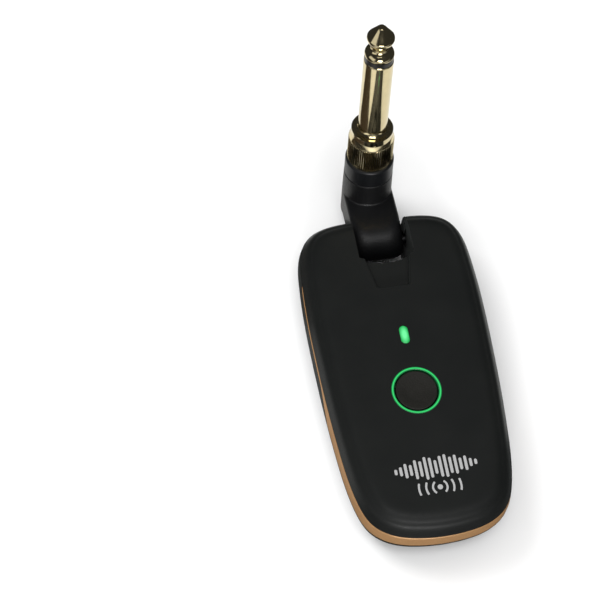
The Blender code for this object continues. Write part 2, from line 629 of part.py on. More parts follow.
def make_materials():
    return {
        "shell": material("soft_touch_black", (0.012, 0.013, 0.013), 0.55),
        "arm": material("moulded_black", (0.02, 0.02, 0.022), 0.6),
        "button": material("button_black", (0.02, 0.015, 0.012), 0.7),
        "copper": material("copper_trim", (0.55, 0.3, 0.13), 0.4, 0.6),
        "gold": material("pale_gold_plate", (0.85, 0.72, 0.42), 0.15, 1.0),
        "light": material("green_light", (0.1, 0.8, 0.25), 0.4, glow=2.0),
        "plastic": material("black_plastic", (0.02, 0.02, 0.02), 0.5),
        "white": material("white_insulator", (0.8, 0.8, 0.78), 0.5),
        "board": material("board_green", (0.02, 0.16, 0.07), 0.5),
        "steel": material("plated_steel", (0.6, 0.6, 0.62), 0.3, 1.0),
        "brass": material("brass", (0.75, 0.58, 0.25), 0.35, 1.0),
        "cell": material("cell_foil", (0.55, 0.56, 0.58), 0.4, 0.7),
        "foam": material("foam_grey", (0.25, 0.25, 0.26), 0.9),
        "red": material("red_insulation", (0.6, 0.03, 0.02), 0.5),
    }


def main():
    for obj in list(bpy.data.objects):
        bpy.data.objects.remove(obj, do_unlink=True)
    mats = make_materials()
    casing(mats)
    face_controls(mats)
    board(mats)
    charging_port(mats)
    battery(mats)
    fasteners(mats)
    hinge_hardware(mats)
    pivot = make_pivot()
    arm_shell(mats, pivot)
    plug(mats, pivot)
    arm_wiring(mats, pivot)


main()
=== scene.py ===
"""Looks of a wireless guitar transmitter with a folding plug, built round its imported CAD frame.

Lengths are millimetres until a mesh is stored, in metres. Pieces of the body are made in the frame of
the CAD model: +Z up out of the face, +Y towards the hinge end. Pieces of the arm are made in the arm's
own frame, X along the hinge pin, Y along the slab and Z along the plug, and are turned into place.
"""
import math

import bmesh
import bpy
import numpy as np
from mathutils import Matrix, Vector

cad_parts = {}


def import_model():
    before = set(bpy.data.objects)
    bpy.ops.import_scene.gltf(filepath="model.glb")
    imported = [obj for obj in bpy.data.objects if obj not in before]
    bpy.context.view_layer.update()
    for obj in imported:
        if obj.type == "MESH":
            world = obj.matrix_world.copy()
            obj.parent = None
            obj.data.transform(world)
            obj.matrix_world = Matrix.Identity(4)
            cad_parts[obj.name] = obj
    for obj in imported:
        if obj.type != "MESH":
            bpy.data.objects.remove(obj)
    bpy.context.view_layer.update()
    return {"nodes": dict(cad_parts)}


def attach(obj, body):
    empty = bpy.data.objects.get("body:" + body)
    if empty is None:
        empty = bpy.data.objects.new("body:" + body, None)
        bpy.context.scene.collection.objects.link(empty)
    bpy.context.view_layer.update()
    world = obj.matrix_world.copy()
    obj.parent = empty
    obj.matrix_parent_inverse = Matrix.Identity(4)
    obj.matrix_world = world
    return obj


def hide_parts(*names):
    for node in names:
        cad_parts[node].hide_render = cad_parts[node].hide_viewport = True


MM = 0.001

# Body
THICKNESS = 15.0
WALL = 1.6
# Well outside the hinge end: cutters reach out to here
BEYOND_Y = 45.0
OUTLINE_HALF = [(0.0, 37.8), (6.0, 37.75), (11.1, 37.3), (14.6, 36.1), (17.1, 33.8), (18.5, 30.4),
                (19.15, 25.5), (19.5, 18.5), (19.45, 6.5), (19.05, -4.9), (18.3, -16.0),
                (16.75, -26.8), (14.5, -32.2), (10.6, -35.2), (5.5, -36.6), (0.0, -37.0)]
OUTLINE_SAMPLES = 360
TOP_RIM = 11.15
LOW_RIM = 10.85
# (inset from the widest outline, height)
LOWER_SKIN = [(4.6, 0.0), (3.4, 0.35), (2.35, 1.4), (1.5, 3.0), (0.75, 4.7), (0.2, 6.3), (0.0, 7.8),
              (0.08, 9.2), (0.28, LOW_RIM)]
UPPER_WALL = [(0.32, TOP_RIM), (0.75, 12.1), (1.2, 13.05), (1.75, 13.75), (2.35, 14.08)]
UPPER_DOME = [(2.35, 14.08), (2.8, 14.42), (3.6, 14.8), (4.7, 14.97), (5.9, 15.0)]

# Trim band
TRIM_TOP = 10.75
TRIM_END_Y = 23.8
# The slim strip's height at its free ends and at TRIM_FULL_Y
TRIM_SLIM = (0.65, 1.0)
TRIM_FULL_Y = -6.0
TRIM_WIDE = 3.6
# Where the step from the slim strip to the wide band begins, and how long it is
TRIM_STEP = (1.5, 13.0)
TRIM_DEPTH = 1.0
TRIM_CLEARANCE = 0.12
# The slim end of the strip shows less on the left side than on the right
TRIM_LEFT_SHARE = 0.45

# Face controls
BUTTON_Y = -5.5
BUTTON_RADIUS = 4.4
RING_INNER = 4.72
RING_OUTER = 5.34
LED_Y = 7.5
LED_WIDTH = 1.9
LED_LENGTH = 4.2
# The face is cut through between these heights for the ring and the window
FACE_CUT = (11.0, 17.0)

# Hinge notch, pocket and hinge
NOTCH_HALF_WIDTH = 6.1
NOTCH_FACE_Y = 25.5
NOTCH_ARC = 1.4
NOTCH_LIP = 1.8
NOTCH_FLOOR_Y = 29.2
POCKET_END_Y = 19.0
POCKET_DEPTH = 1.25
POCKET_WIDE = 5.1
POCKET_NARROW = 3.6
HINGE_Y = 34.5
HINGE_Z = 6.4
REST_TILT = -10.0

# Arm and plug, in the arm's frame
ARM_HALF_WIDTH = 5.5
KNUCKLE_CENTRE = 1.0
KNUCKLE_REACH = 5.5
KNUCKLE_BACK = 3.3
SLAB_FRONT = 5.0
SLAB_BACK = -2.2
PLUG_AXIS = 12.1
SEAM = 11.0
SLEEVE_END = 15.6
SLEEVE_RADIUS = 5.4
ARM_BORE = 3.9
SHOULDER = 25.0
POINT = 55.5
BARREL_RADIUS = 3.175
BARREL_END = 46.26
INSULATOR_END = 47.4
COLLAR_RADIUS = 5.0
COLLAR_BORE = 3.21
SHOULDER_RADIUS = 4.54
SPLINES = 66
SPLINE_DEPTH = 0.24

# Print on the face
BAR_PITCH = 1.05
BAR_WIDTH = 0.6
BAR_HEIGHTS = [1.2, 2.0, 3.2, 2.4, 4.2, 3.4, 5.0, 4.4, 3.0, 4.6, 5.0, 3.6, 4.2, 2.6, 3.2, 1.8, 1.2]
BARS_AT = (0.5, -23.0)
WAVES_AT = (0.5, -27.4)
WAVE_WIDTH = 0.42
# (radius, half angle in degrees)
WAVES = [(1.5, 52.0), (2.9, 27.0), (4.4, 17.0)]
PRINT_TOP = THICKNESS + 0.02

CASE_SCREWS = [(-9.6, -28.8), (9.6, -28.8), (-13.4, 22.0), (13.4, 22.0)]
BUSH_RADIUS = 1.75

# Charging port in the hinge end
PORT_X = 11.3
PORT_WIDTH = 7.5
PORT_LOW = 9.25
PORT_HIGH = 11.75
PORT_BACK_Y = 28.4
PORT_MOUTH_Y = 34.9

# Camera: it looks down at the middle of the light ring, which stands right of and below the centre
CAMERA_AZIMUTH = -17.24
CAMERA_ELEVATION = 63.28
CAMERA_ROLL = 8.162
CAMERA_DISTANCE = 400.0
CAMERA_LENS = 114.78
CAMERA_SHIFT = (-24.39, 18.80)


# ---------------------------------------------------------------- curves

def second_derivatives(knots, points, closed):
    """Second derivatives of the cubic spline through points: periodic, or natural at open ends."""
    count = len(points)
    matrix = np.zeros((count, count))
    right = np.zeros_like(points)
    for i in range(count):
        if not closed and i in (0, count - 1):
            matrix[i, i] = 1.0
            continue
        before, after = (i - 1) % count, (i + 1) % count
        gap_before = knots[i] - knots[i - 1] if i else knots[-1] - knots[count - 1]
        gap_after = knots[i + 1] - knots[i]
        matrix[i, before] += gap_before / 6
        matrix[i, i] += (gap_before + gap_after) / 3
        matrix[i, after] += gap_after / 6
        right[i] = (points[after] - points[i]) / gap_after - (points[i] - points[before]) / gap_before
    return np.linalg.solve(matrix, right)


def spline(points, samples, closed=False):
    """Evenly spaced parameters on the cubic spline through points."""
    points = np.array(points, float)
    ring = np.vstack([points, points[:1]]) if closed else points
    chords = np.linalg.norm(np.diff(ring, axis=0), axis=1)
    knots = np.concatenate([[0.0], np.cumsum(chords)])
    bends = second_derivatives(knots, points, closed)
    bends = np.vstack([bends, bends[:1]]) if closed else bends
    result = []
    for value in np.linspace(0.0, knots[-1], samples, endpoint=not closed):
        i = min(int(np.searchsorted(knots, value, side="right")) - 1, len(knots) - 2)
        gap = knots[i + 1] - knots[i]
        a, b = (knots[i + 1] - value) / gap, (value - knots[i]) / gap
        result.append(a * ring[i] + b * ring[i + 1]
                      + ((a ** 3 - a) * bends[i] + (b ** 3 - b) * bends[i + 1]) * gap ** 2 / 6)
    return np.array(result)


def body_outline():
    """The widest outline of the body, counter-clockwise from the middle of the hinge end."""
    left = [(-x, y) for x, y in OUTLINE_HALF[1:]]
    return spline(OUTLINE_HALF[:1] + left + OUTLINE_HALF[1:-1][::-1], OUTLINE_SAMPLES, closed=True)


def inset_loop(outline, inset, height):
    """The outline moved inwards by inset, at a height; both may be one value for each point."""
    tangent = np.roll(outline, -1, axis=0) - np.roll(outline, 1, axis=0)
    tangent /= np.linalg.norm(tangent, axis=1)[:, None]
    inward = np.column_stack([-tangent[:, 1], tangent[:, 0]])
    moved = outline + inward * np.broadcast_to(inset, len(outline))[:, None]
    return [(x, y, z) for (x, y), z in zip(moved, np.broadcast_to(height, len(outline)))]


def rounded(profile, radius, steps=4):
    """An open profile of 2D points with each inner corner rounded to about radius."""
    result = [Vector(profile[0])]
    for before, corner, after in zip(profile, profile[1:], profile[2:]):
        corner = Vector(corner)
        to_before, to_after = Vector(before) - corner, Vector(after) - corner
        reach = min(radius, 0.45 * to_before.length, 0.45 * to_after.length)
        start = corner + to_before.normalized() * reach
        end = corner + to_after.normalized() * reach
        for i in range(steps + 1):
            t = i / steps
            result.append((1 - t) ** 2 * start + 2 * t * (1 - t) * corner + t ** 2 * end)
    return [tuple(point) for point in result + [Vector(profile[-1])]]


def circle(radius, height, count, centre=(0.0, 0.0)):
    angles = [2 * math.pi * i / count for i in range(count)]
    return [(centre[0] + radius * math.cos(a), centre[1] + radius * math.sin(a), height) for a in angles]


def pill(width, length, height, centre=(0.0, 0.0), count=12):
    """A slot-shaped loop along Y: two half circles and the straight runs between them."""
    radius = width / 2
    reach = max(length / 2 - radius, 0.0)
    loop = []
    for side in (1, -1):
        for i in range(count + 1):
            angle = math.pi * i / count
            loop.append((centre[0] + side * radius * math.cos(angle),
                         centre[1] + side * (reach + radius * math.sin(angle)), height))
    return loop


# ---------------------------------------------------------------- meshes

def loft(loops, ring=False):
    """Bridge loops of equal length; the ends are capped, or joined to each other for a ring."""
    bm = bmesh.new()
    rows = [[bm.verts.new(point) for point in loop] for loop in loops]
    pairs = list(zip(rows, rows[1:])) + ([(rows[-1], rows[0])] if ring else [])
    for low, high in pairs:
        for i in range(len(low)):
            j = (i + 1) % len(low)
            bm.faces.new((low[i], low[j], high[j], high[i]))
    if not ring:
        bm.faces.new(rows[0][::-1])
        bm.faces.new(rows[-1])
    return bm


def cuboid(low, high, bevel=0.0):
    bm = bmesh.new()
    bmesh.ops.create_cube(bm, size=1.0)
    bmesh.ops.scale(bm, vec=Vector(high) - Vector(low), verts=bm.verts)
    bmesh.ops.translate(bm, vec=(Vector(low) + Vector(high)) / 2, verts=bm.verts)
    if bevel:
        bmesh.ops.bevel(bm, geom=bm.edges[:], offset=bevel, segments=3, profile=0.5, affect="EDGES")
    return bm


def prism_x(outline, half_width, rims=(0.0, 0.0)):
    """An outline of (y, z) pairs extruded across X, with the rims of both ends rounded.

    rims holds how far the rounding reaches across and inwards, as values or one for each point.
    """
    loops = []
    lateral, inset = (np.broadcast_to(rim, len(outline)) for rim in rims)
    steps = 8 if np.any(inset) else 0
    closed = np.array(outline)
    tangent = np.roll(closed, -1, axis=0) - np.roll(closed, 1, axis=0)
    tangent /= np.linalg.norm(tangent, axis=1)[:, None]
    inward = np.column_stack([-tangent[:, 1], tangent[:, 0]])
    turns = [math.pi / 2 * i / max(steps, 1) for i in range(steps + 1)]
    for side in (-1, 1):
        for turn in turns if side < 0 else turns[::-1]:
            moved = closed + inward * (inset * (1 - math.sin(turn)))[:, None]
            across = side * (half_width - lateral * (1 - math.cos(turn)))
            loops.append([(x, y, z) for x, (y, z) in zip(across, moved)])
    return loft(loops)


def braced(profile, margin=0.12):
    """The profile with extra points near the ends of its long runs, so that they shade straight."""
    result = [profile[0]]
    for start, end in zip(profile, profile[1:]):
        start, end = Vector(start), Vector(end)
        run = end - start
        if run.length > 5 * margin:
            step = run.normalized() * margin
            result += [tuple(start + step), tuple(end - step)]
        result.append(tuple(end))
    return result


def turned(profile, count=128, centre=(0.0, 0.0), ring=False):
    """A turned solid about a +Z line through centre, from (radius, height) pairs."""
    return loft([circle(radius, height, count, centre) for radius, height in braced(profile)], ring)


def turned_x(profile, centre, count=48):
    """A turned solid about a +X line through centre (y, z), from (radius, x) pairs."""
    loops = [[(x, centre[0] + px, centre[1] + py) for px, py, _ in circle(radius, 0.0, count)]
             for radius, x in profile]
    return loft(loops)


def make_object(name, bm, place=None):
    """Store a bmesh, in millimetres, as an object in metres."""
    bmesh.ops.remove_doubles(bm, verts=bm.verts, dist=1e-4)
    bmesh.ops.recalc_face_normals(bm, faces=bm.faces)
    bmesh.ops.scale(bm, vec=(MM, MM, MM), verts=bm.verts)
    mesh = bpy.data.meshes.new(name)
    bm.to_mesh(mesh)
    bm.free()
    obj = bpy.data.objects.new(name, mesh)
    bpy.context.scene.collection.objects.link(obj)
    if place is not None:
        obj.matrix_world = place
    return obj


def carve(obj, *steps):
    """Apply Boolean steps of (operation, bmesh) to obj, and remove the tools."""
    tools = []
    for operation, bm in steps:
        tool = make_object("tool", bm, obj.matrix_world)
        tools.append(tool)
        modifier = obj.modifiers.new("carve", "BOOLEAN")
        modifier.operation = operation
        modifier.solver = "EXACT"
        modifier.object = tool
    apply_modifiers(obj)
    for tool in tools:
        bpy.data.objects.remove(tool, do_unlink=True)


def apply_modifiers(obj):
    bpy.context.view_layer.update()
    made = obj.evaluated_get(bpy.context.evaluated_depsgraph_get())
    mesh = bpy.data.meshes.new_from_object(made)
    obj.modifiers.clear()
    obj.data = mesh


def finish_piece(obj, mat, body, replaces=(), sharp=35.0):
    """Shade, paint and attach a piece to its CAD body."""
    obj.data.shade_smooth()
    obj.data.set_sharp_from_angle(angle=math.radians(sharp))
    obj.data.materials.clear()
    obj.data.materials.append(mat)
    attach(obj, body)
    if replaces:
        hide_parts(*replaces)


# ---------------------------------------------------------------- materials

class Surface:
    """A Principled material whose pattern nodes read the piece's own coordinates."""

    def __init__(self, name, colour, roughness, metallic=0.0, specular=0.5):
        self.mat = bpy.data.materials.new(name)
        self.mat.use_nodes = True
        self.tree = self.mat.node_tree
        self.shader = self.tree.nodes["Principled BSDF"]
        self.colour = colour
        self.shader.inputs["Base Color"].default_value = (*colour, 1.0)
        self.shader.inputs["Roughness"].default_value = roughness
        self.shader.inputs["Metallic"].default_value = metallic
        self.shader.inputs["Specular IOR Level"].default_value = specular
        self.coords = self.tree.nodes.new("ShaderNodeTexCoord").outputs["Object"]
        self.normal = None

    def noise(self, size, detail=2.0, stretch=(1.0, 1.0, 1.0)):
        """A noise of features about size millimetres across, stretched along each axis."""
        mapping = self.tree.nodes.new("ShaderNodeMapping")
        mapping.inputs["Scale"].default_value = [1.0 / (size * MM * s) for s in stretch]
        self.tree.links.new(self.coords, mapping.inputs["Vector"])
        node = self.tree.nodes.new("ShaderNodeTexNoise")
        node.inputs["Scale"].default_value = 1.0
        node.inputs["Detail"].default_value = detail
        self.tree.links.new(mapping.outputs["Vector"], node.inputs["Vector"])
        return node.outputs["Fac"]

    def ranged(self, value, low, high, start=0.3, end=0.7):
        node = self.tree.nodes.new("ShaderNodeMapRange")
        node.inputs["From Min"].default_value = start
        node.inputs["From Max"].default_value = end
        node.inputs["To Min"].default_value = low
        node.inputs["To Max"].default_value = high
        self.tree.links.new(value, node.inputs["Value"])
        return node.outputs["Result"]

    def roughness(self, value, low, high):
        self.tree.links.new(self.ranged(value, low, high), self.shader.inputs["Roughness"])

    def tint(self, value, other):
        """Mix the base colour towards another one where the pattern is high."""
        node = self.tree.nodes.new("ShaderNodeMix")
        node.data_type = "RGBA"
        node.inputs["A"].default_value = (*self.colour, 1.0)
        node.inputs["B"].default_value = (*other, 1.0)
        self.tree.links.new(self.ranged(value, 0.0, 1.0), node.inputs["Factor"])
        self.tree.links.new(node.outputs["Result"], self.shader.inputs["Base Color"])

    def bump(self, value, depth):
        """Raise the surface by up to depth millimetres where the pattern is high."""
        node = self.tree.nodes.new("ShaderNodeBump")
        node.inputs["Distance"].default_value = depth * MM
        self.tree.links.new(value, node.inputs["Height"])
        if self.normal is not None:
            self.tree.links.new(self.normal, node.inputs["Normal"])
        self.normal = node.outputs["Normal"]
        self.tree.links.new(self.normal, self.shader.inputs["Normal"])


def soft_touch(name):
    """Rubbery coat: near black, very fine grain, faint cloudiness, a soft sheen at grazing angles."""
    s = Surface(name, (0.0052, 0.0059, 0.0057), 0.5, specular=0.28)
    s.tint(s.noise(9.0, 3.0), (0.0068, 0.0075, 0.0071))
    s.roughness(s.noise(0.35, 3.0), 0.44, 0.56)
    s.bump(s.noise(0.16, 2.0), 0.006)
    s.shader.inputs["Sheen Weight"].default_value = 0.05
    s.shader.inputs["Sheen Roughness"].default_value = 0.4
    s.shader.inputs["Sheen Tint"].default_value = (0.75, 0.82, 0.8, 1.0)
    return s.mat


def moulded(name, colour, grain=0.28, depth=0.03, rough=(0.42, 0.58), specular=0.35):
    """Moulded plastic with a spark-eroded grain."""
    s = Surface(name, colour, sum(rough) / 2, specular=specular)
    s.tint(s.noise(4.0, 2.0), tuple(1.35 * c for c in colour))
    s.roughness(s.noise(grain * 1.5, 2.0), *rough)
    s.bump(s.noise(grain, 3.0), depth)
    return s.mat


def plated(name, colour, roughness=(0.07, 0.16), lines=True):
    """Polished plating with faint lathe lines round the axis and a little haze."""
    s = Surface(name, colour, roughness[0], metallic=1.0)
    s.tint(s.noise(2.5, 3.0), tuple(0.9 * c for c in colour))
    s.roughness(s.noise(1.1, 4.0), *roughness)
    if lines:
        s.bump(s.noise(0.09, 1.0, stretch=(60.0, 60.0, 1.0)), 0.0012)
    return s.mat


def satin_copper(name):
    """Satin metallic paint with fine flakes."""
    s = Surface(name, (0.39, 0.21, 0.088), 0.42, metallic=0.3, specular=0.5)
    s.tint(s.noise(0.09, 1.0), (0.46, 0.255, 0.11))
    s.roughness(s.noise(0.25, 2.0), 0.36, 0.5)
    s.bump(s.noise(0.12, 1.0), 0.003)
    return s.mat


def lit_guide(name, edge, core, centre, line, reach, squeeze=1.0):
    """A light guide that glows from its line to its rims.

    The line is a circle of that radius round centre; reach holds the distances from it where the core
    colour ends and the edge colour begins, and squeeze shortens distances along Y.
    """
    s = Surface(name, (0.01, 0.12, 0.04), 0.3)
    nodes, links = s.tree.nodes, s.tree.links
    shift = nodes.new("ShaderNodeMapping")
    shift.inputs["Location"].default_value = (-centre[0] * MM, -centre[1] * MM * squeeze, 0.0)
    shift.inputs["Scale"].default_value = (1.0, squeeze, 0.0)
    links.new(s.coords, shift.inputs["Vector"])
    length = nodes.new("ShaderNodeVectorMath")
    length.operation = "LENGTH"
    links.new(shift.outputs["Vector"], length.inputs[0])
    offset = nodes.new("ShaderNodeMath")
    offset.operation = "SUBTRACT"
    offset.inputs[1].default_value = line * MM
    links.new(length.outputs["Value"], offset.inputs[0])
    distance = nodes.new("ShaderNodeMath")
    distance.operation = "ABSOLUTE"
    links.new(offset.outputs["Value"], distance.inputs[0])
    glow = nodes.new("ShaderNodeMix")
    glow.data_type = "RGBA"
    glow.inputs["A"].default_value = (*core, 1.0)
    glow.inputs["B"].default_value = (*edge, 1.0)
    fade = s.ranged(distance.outputs["Value"], 0.0, 1.0, reach[0] * MM, reach[1] * MM)
    links.new(fade, glow.inputs["Factor"])
    links.new(glow.outputs["Result"], s.shader.inputs["Emission Color"])
    facing = nodes.new("ShaderNodeSeparateXYZ")
    links.new(nodes.new("ShaderNodeTexCoord").outputs["Normal"], facing.inputs["Vector"])
    upward = s.ranged(facing.outputs["Z"], 0.04, 1.0, 0.3, 0.8)
    links.new(upward, s.shader.inputs["Emission Strength"])
    s.roughness(s.noise(0.4, 2.0), 0.25, 0.4)
    return s.mat


def plain_plastic(name, colour, rough=0.45):
    s = Surface(name, colour, rough)
    s.roughness(s.noise(0.5, 3.0), rough - 0.06, rough + 0.08)
    s.bump(s.noise(0.25, 2.0), 0.008)
    return s.mat


def brushed(name, colour, rough=0.28):
    s = Surface(name, colour, rough, metallic=1.0)
    s.tint(s.noise(1.8, 3.0), tuple(0.82 * c for c in colour))
    s.roughness(s.noise(0.12, 2.0, stretch=(12.0, 1.0, 12.0)), rough - 0.08, rough + 0.1)
    s.bump(s.noise(0.1, 1.0, stretch=(30.0, 1.0, 30.0)), 0.002)
    return s.mat


def board_green(name):
    """Solder mask over copper tracks."""
    s = Surface(name, (0.008, 0.09, 0.035), 0.3)
    s.tint(s.noise(1.2, 1.0, stretch=(4.0, 0.6, 1.0)), (0.02, 0.17, 0.07))
    s.roughness(s.noise(0.6, 2.0), 0.25, 0.4)
    s.bump(s.noise(1.2, 1.0, stretch=(4.0, 0.6, 1.0)), 0.02)
    return s.mat


def foam(name):
    s = Surface(name, (0.11, 0.11, 0.12), 0.9)
    s.tint(s.noise(0.5, 4.0), (0.05, 0.05, 0.055))
    s.bump(s.noise(0.4, 4.0), 0.12)
    return s.mat


def foil(name):
    """Crinkled aluminium pouch."""
    s = Surface(name, (0.62, 0.63, 0.65), 0.32, metallic=0.9)
    s.tint(s.noise(3.0, 4.0), (0.5, 0.51, 0.54))
    s.roughness(s.noise(0.8, 3.0), 0.26, 0.42)
    s.bump(s.noise(2.2, 4.0), 0.12)
    return s.mat


# ---------------------------------------------------------------- body

def rounded_trapezoid(half_near, half_far, near_y, far_y, corner, z):
    """A loop at height z: wide at near_y, narrow and with rounded corners at far_y."""
    path = [(half_near, near_y), (half_far, far_y), (-half_far, far_y), (-half_near, near_y)]
    return [(x, y, z) for x, y in rounded(path, corner, steps=8)]


def pocket_tool():
    """The shallow tapering pocket that the folded sleeve dips into."""
    loops = []
    near = NOTCH_FACE_Y + NOTCH_ARC + 0.3
    for z, shrink in ((THICKNESS + 1.0, -0.25), (THICKNESS + 0.02, -0.12), (THICKNESS - 0.16, 0.03),
                      (THICKNESS - POCKET_DEPTH + 0.15, 0.1), (THICKNESS - POCKET_DEPTH, 0.22)):
        loops.append(rounded_trapezoid(POCKET_WIDE - shrink, POCKET_NARROW - shrink, near,
                                       POCKET_END_Y + shrink, 0.9, z))
    return loft(loops)


def notch_tool():
    """The space in the hinge end where the knuckle and the slab turn, right through the body.

    Its inner edge is an arc in the face, and the wall below it slopes down under the knuckle.
    """
    across = np.linspace(-NOTCH_HALF_WIDTH, NOTCH_HALF_WIDTH, 41)
    section = [(THICKNESS + 2.0, NOTCH_FACE_Y, NOTCH_ARC), (THICKNESS - NOTCH_LIP, NOTCH_FACE_Y, NOTCH_ARC),
               (HINGE_Z, NOTCH_FLOOR_Y, 0.0), (-2.0, NOTCH_FLOOR_Y, 0.0)]
    loops = []
    for z, edge, arc in section:
        inner_edge = [(x, edge + arc * (x / NOTCH_HALF_WIDTH) ** 2, z) for x in across]
        loops.append(inner_edge + [(NOTCH_HALF_WIDTH, BEYOND_Y, z), (-NOTCH_HALF_WIDTH, BEYOND_Y, z)])
    return loft(loops)


def port_tool():
    """The mouth of the charging port, through the end wall and across the parting line."""
    middle = (PORT_LOW + PORT_HIGH) / 2
    height, width = PORT_HIGH - PORT_LOW + 0.3, PORT_WIDTH + 0.3
    return loft([[(PORT_X + x, y, middle + z) for z, x, _ in pill(height, width, 0.0, count=16)]
                 for y in (PORT_BACK_Y - 0.3, BEYOND_Y)])


def top_cover(mat):
    outline = body_outline()
    skin = list(spline(UPPER_WALL, 14)) + list(spline(UPPER_DOME, 14))[1:]
    inner = UPPER_WALL[0][0] + WALL
    ceiling = THICKNESS - WALL
    profile = [(5.6, ceiling), (inner + 1.4, ceiling - 0.6), (inner, ceiling - 2.0), (inner, TOP_RIM)]
    loops = [inset_loop(outline, inset, z) for inset, z in profile + skin]
    cover = make_object("top_cover_shell", loft(loops))
    steps = []
    for side in (-1, 1):
        low_x, high_x = sorted((side * (NOTCH_HALF_WIDTH - 0.2), side * (NOTCH_HALF_WIDTH + 1.0)))
        steps.append(("UNION", cuboid((low_x, 25.2, TOP_RIM), (high_x, 35.6, 13.6))))
    steps.append(("UNION", cuboid((-6.8, NOTCH_FACE_Y - 1.4, TOP_RIM), (6.8, 30.0, 14.3))))
    slot = loft([pill(LED_WIDTH + 0.06, LED_LENGTH + 0.06, z, (0.0, LED_Y), 16) for z in FACE_CUT])
    ring_hole = turned([(RING_OUTER + 0.03, z) for z in FACE_CUT], 160, (0.0, BUTTON_Y))
    catch = cuboid((-0.5, NOTCH_FACE_Y - 0.3, 12.5), (0.5, NOTCH_FACE_Y + 0.55, 13.7), bevel=0.15)
    tools = (ring_hole, slot, notch_tool(), pocket_tool(), port_tool())
    steps += [("DIFFERENCE", tool) for tool in tools] + [("UNION", catch)]
    carve(cover, *steps)
    finish_piece(cover, mat, "body", ["top_cover"], sharp=32)


def trim_heights(places):
    """Height of the trim band at outline points: a slim strip that steps up to a wide band."""
    slim = np.interp(places[:, 1], [TRIM_FULL_Y, TRIM_END_Y], TRIM_SLIM[::-1])
    slim *= np.where(places[:, 0] < 0.0, TRIM_LEFT_SHARE, 1.0)
    step = np.clip((TRIM_STEP[0] - places[:, 1]) / TRIM_STEP[1], 0.0, 1.0)
    return slim + (TRIM_WIDE - slim) * step * step * (3 - 2 * step)


def skin_inset(height):
    return float(np.interp(height, [z for _, z in LOWER_SKIN], [inset for inset, _ in LOWER_SKIN]))


def trim_loops(grow):
    """Sections of the U-shaped strip round the bottom end; grow widens it into its groove."""
    outline = body_outline()
    reach = TRIM_END_Y + grow
    low = TRIM_TOP - trim_heights(outline) - grow
    top = TRIM_TOP + (1.0 if grow else 0.0)
    proud = 0.6 if grow else 0.0
    ends = np.clip((reach - outline[:, 1]) / 1.2, 0.0, 1.0)
    if not grow:
        low = TRIM_TOP - (TRIM_TOP - low) * (0.35 + 0.65 * np.sqrt(ends * (2 - ends)))
    depth = skin_inset(9.0) + TRIM_DEPTH + grow
    middle = (top + low) / 2
    outer_middle = np.array([skin_inset(z) for z in middle])
    outer_low = np.array([skin_inset(z) for z in low])
    rows = [(skin_inset(TRIM_TOP) - proud, top), (outer_middle - proud, middle),
            (outer_low - proud, low), (depth, low), (depth, top)]
    if not grow:
        edge = 0.12
        rows = [(skin_inset(TRIM_TOP) + edge, top), (skin_inset(TRIM_TOP), top - edge), rows[1],
                (outer_low, low + edge), (outer_low + edge, low)] + rows[3:]
    corners = [inset_loop(outline, inset, height) for inset, height in rows]
    inside = outline[:, 1] < reach
    first, last = int(np.argmax(inside)), len(inside) - 1 - int(np.argmax(inside[::-1]))

    def cut(outside, kept):
        share = (reach - outline[kept][1]) / (outline[outside][1] - outline[kept][1])
        return [tuple(Vector(c[kept]).lerp(Vector(c[outside]), share)) for c in corners]

    sections = [[c[i] for c in corners] for i in range(first, last + 1)]
    return [cut(first - 1, first)] + sections + [cut((last + 1) % len(outline), last)]


def trim_band(mat):
    band = make_object("copper_band", loft(trim_loops(0.0)))
    finish_piece(band, mat, "body", ["side_trim_band"])


def bottom_cover(mat):
    outline = body_outline()
    inner = 3.1
    skin = list(spline(LOWER_SKIN, 30))[::-1]
    profile = [(6.2, WALL), (4.4, WALL + 0.7), (inner, WALL + 2.2), (inner, LOW_RIM)]
    cover = make_object("bottom_cover_shell", loft([inset_loop(outline, i, z) for i, z in profile + skin]))
    steps = []
    for side in (-1, 1):
        low_x, high_x = sorted((side * (NOTCH_HALF_WIDTH + 0.3), side * 10.6))
        steps.append(("UNION", cuboid((low_x, NOTCH_FLOOR_Y, 1.2), (high_x, 35.0, LOW_RIM - 0.2))))
        bore = [(BUSH_RADIUS + 0.1, side * 5.0), (BUSH_RADIUS + 0.1, side * 11.4)]
        steps.append(("DIFFERENCE", turned_x(bore, (HINGE_Y, HINGE_Z))))
    wall = cuboid((-7.4, NOTCH_FLOOR_Y - 1.4, 0.8), (7.4, NOTCH_FLOOR_Y + 0.4, 5.6))
    steps += [("UNION", wall), ("DIFFERENCE", notch_tool())]
    for place in CASE_SCREWS:
        steps.append(("UNION", turned([(2.6, 0.9), (2.6, 3.3)], 48, place)))
        hole = [(2.1, -0.1), (1.9, 0.12), (1.9, 2.1), (1.1, 2.1), (1.1, 5.0)]
        steps.append(("DIFFERENCE", turned(hole, 48, place)))
    steps += [("DIFFERENCE", port_tool()), ("DIFFERENCE", loft(trim_loops(TRIM_CLEARANCE)))]
    carve(cover, *steps)
    finish_piece(cover, mat, "body", ["bottom_cover"], sharp=32)


# ---------------------------------------------------------------- face controls

def domed_pill(width, length, low, top, rise, centre):
    """A slot-shaped plug with a gently domed top."""
    loops = [pill(width, length, low, centre), pill(width, length, top - rise, centre)]
    for i in range(1, 9):
        turn = math.pi / 2 * i / 9
        shrink = (1 - math.cos(turn)) * width / 2
        loops.append(pill(width - 2 * shrink, length - 2 * shrink,
                          top - rise + rise * math.sin(turn), centre))
    return loft(loops)


